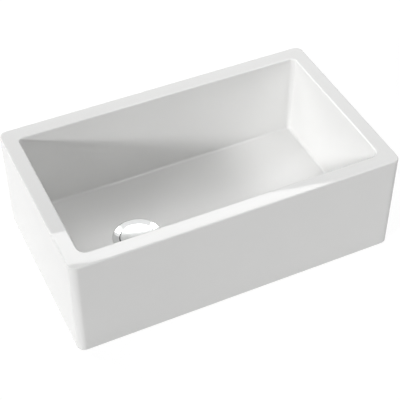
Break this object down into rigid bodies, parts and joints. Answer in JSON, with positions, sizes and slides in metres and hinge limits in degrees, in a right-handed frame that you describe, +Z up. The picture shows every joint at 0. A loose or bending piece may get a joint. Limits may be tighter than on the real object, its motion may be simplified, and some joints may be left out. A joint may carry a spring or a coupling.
{
  "type": "farmhouse apron front sink",
  "caption": "Single-bowl fireclay kitchen sink with a plain apron front, flat rim and an offset drain with a lift-out basket strainer and cap.",
  "frame": {"origin": "centre of the basin's underside, on its foot", "axes": "+X to the right as seen from the front, +Y to the rear, +Z up"},
  "size_m": [0.762, 0.4572, 0.3037],
  "materials": {
    "glaze": "gloss",
    "polished_steel": "polished",
    "strainer_steel": "satin",
    "spring_steel": "satin",
    "zinc": "satin",
    "brass": "satin",
    "black_rubber": "matte",
    "grey_rubber": "matte",
    "fibre": "matte",
    "white_plastic": "satin",
    "putty": "matte"
  },
  "bodies": {
    "sink": {"basin": "glaze", "strainer_body": "polished_steel", "flange_seal": "putty", "rubber_washer": "black_rubber", "friction_ring": "fibre", "locknut": "zinc", "outlet_spud": "brass", "tail_washer": "white_plastic", "coupling_nut": "zinc"},
    "basket": {"basket_cup": "strainer_steel", "basket_knob": "polished_steel", "centre_post": "strainer_steel", "stopper_seal": "black_rubber", "seal_retainer": "strainer_steel", "stem_nut": "brass", "latch_spring": "spring_steel"},
    "cap": {"cap_disc": "polished_steel", "cap_skirt": "strainer_steel", "cap_feet": "grey_rubber"}
  },
  "joints": [
    {"name": "basket_lift", "type": "slide", "parent": "sink", "child": "basket", "axis": [0, 0, 1], "range_m": [0, 0.31]},
    {"name": "cap_lift", "type": "slide", "parent": "basket", "child": "cap", "axis": [0, 0, 1], "range_m": [0, 0.25]}
  ]
}
